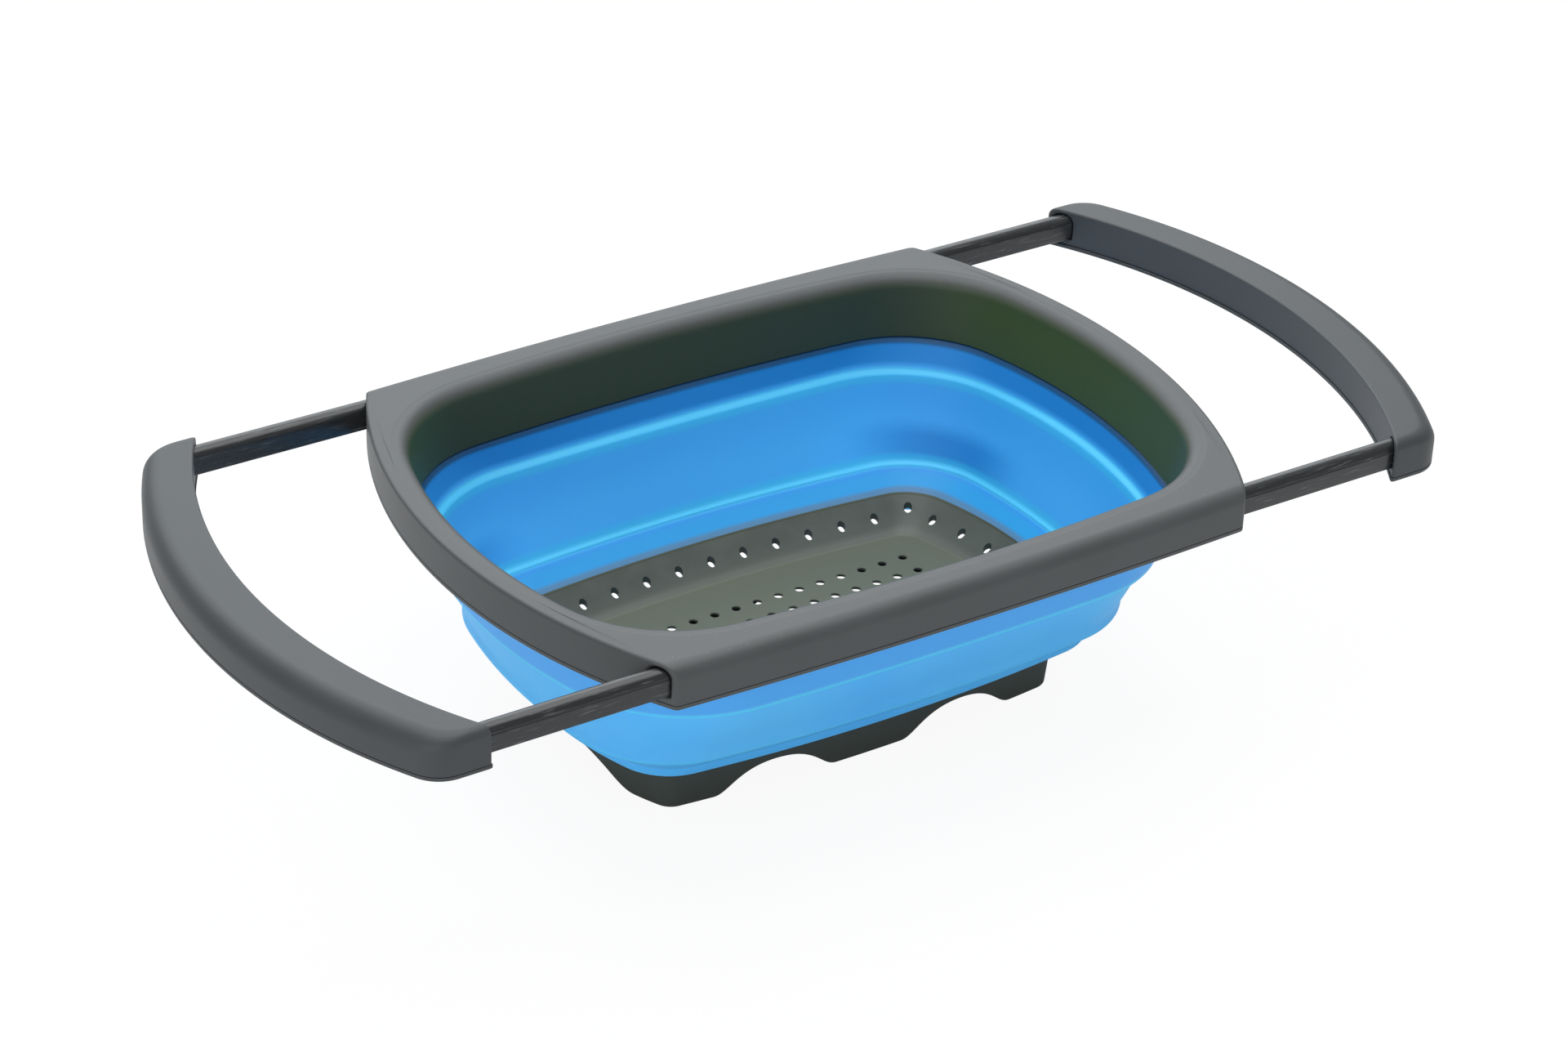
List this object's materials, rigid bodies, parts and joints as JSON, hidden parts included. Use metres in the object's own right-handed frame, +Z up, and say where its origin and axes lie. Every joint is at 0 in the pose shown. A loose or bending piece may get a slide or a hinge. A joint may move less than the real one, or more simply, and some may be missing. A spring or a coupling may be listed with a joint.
{
  "type": "collapsible over-sink colander",
  "caption": "Rectangular folding colander with a barrel-shaped rim, silicone bellows wall, perforated tray on scalloped feet and two sliding U-handles that span a sink.",
  "frame": {"origin": "centre of the plane that the feet stand on", "axes": "+X towards the right handle along the length, +Y to the rear, +Z up out of the bowl"},
  "size_m": [0.562, 0.265, 0.1239],
  "materials": {
    "rim_plastic": "fine matte texture, dark grey",
    "ring_plastic": "matte, dark grey",
    "tray_plastic": "satin, grey with a green cast",
    "rod_plastic": "semi-gloss, charcoal, drawn along its length",
    "grip_plastic": "soft matte, fine grain, dark grey",
    "plate_plastic": "matte, dark grey",
    "blue_silicone": "satin silicone, sky blue, slightly translucent",
    "screw_steel": "plain steel"
  },
  "bodies": {
    "base": {"base_tray": "tray_plastic", "silicone_foot_band": "blue_silicone", "silicone_wall": "blue_silicone"},
    "rim": {"rim_cover": "rim_plastic", "rim_under_ring": "ring_plastic", "silicone_collar_band": "blue_silicone", "rim_screw_1": "screw_steel", "rim_screw_2": "screw_steel", "rim_screw_3": "screw_steel", "rim_screw_4": "screw_steel", "rim_screw_5": "screw_steel", "rim_screw_6": "screw_steel", "rim_screw_7": "screw_steel", "rim_screw_8": "screw_steel"},
    "handle_left": {"handle_left_grip": "grip_plastic", "handle_left_under_plate": "plate_plastic", "handle_left_rod_front": "rod_plastic", "handle_left_rod_rear": "rod_plastic", "handle_left_screw_1": "screw_steel", "handle_left_screw_2": "screw_steel", "handle_left_screw_3": "screw_steel"},
    "handle_right": {"handle_right_grip": "grip_plastic", "handle_right_under_plate": "plate_plastic", "handle_right_rod_front": "rod_plastic", "handle_right_rod_rear": "rod_plastic", "handle_right_screw_1": "screw_steel", "handle_right_screw_2": "screw_steel", "handle_right_screw_3": "screw_steel"}
  },
  "joints": [
    {"name": "rim_collapse", "type": "slide", "parent": "base", "child": "rim", "axis": [0, 0, 1], "range_m": [-0.076, 0], "deforming": ["silicone_wall"]},
    {"name": "handle_right_slide", "type": "slide", "parent": "rim", "child": "handle_right", "axis": [-1, 0, 0], "range_m": [0, 0.08]},
    {"name": "handle_left_slide", "type": "slide", "parent": "rim", "child": "handle_left", "axis": [1, 0, 0], "range_m": [0, 0.08]}
  ]
}
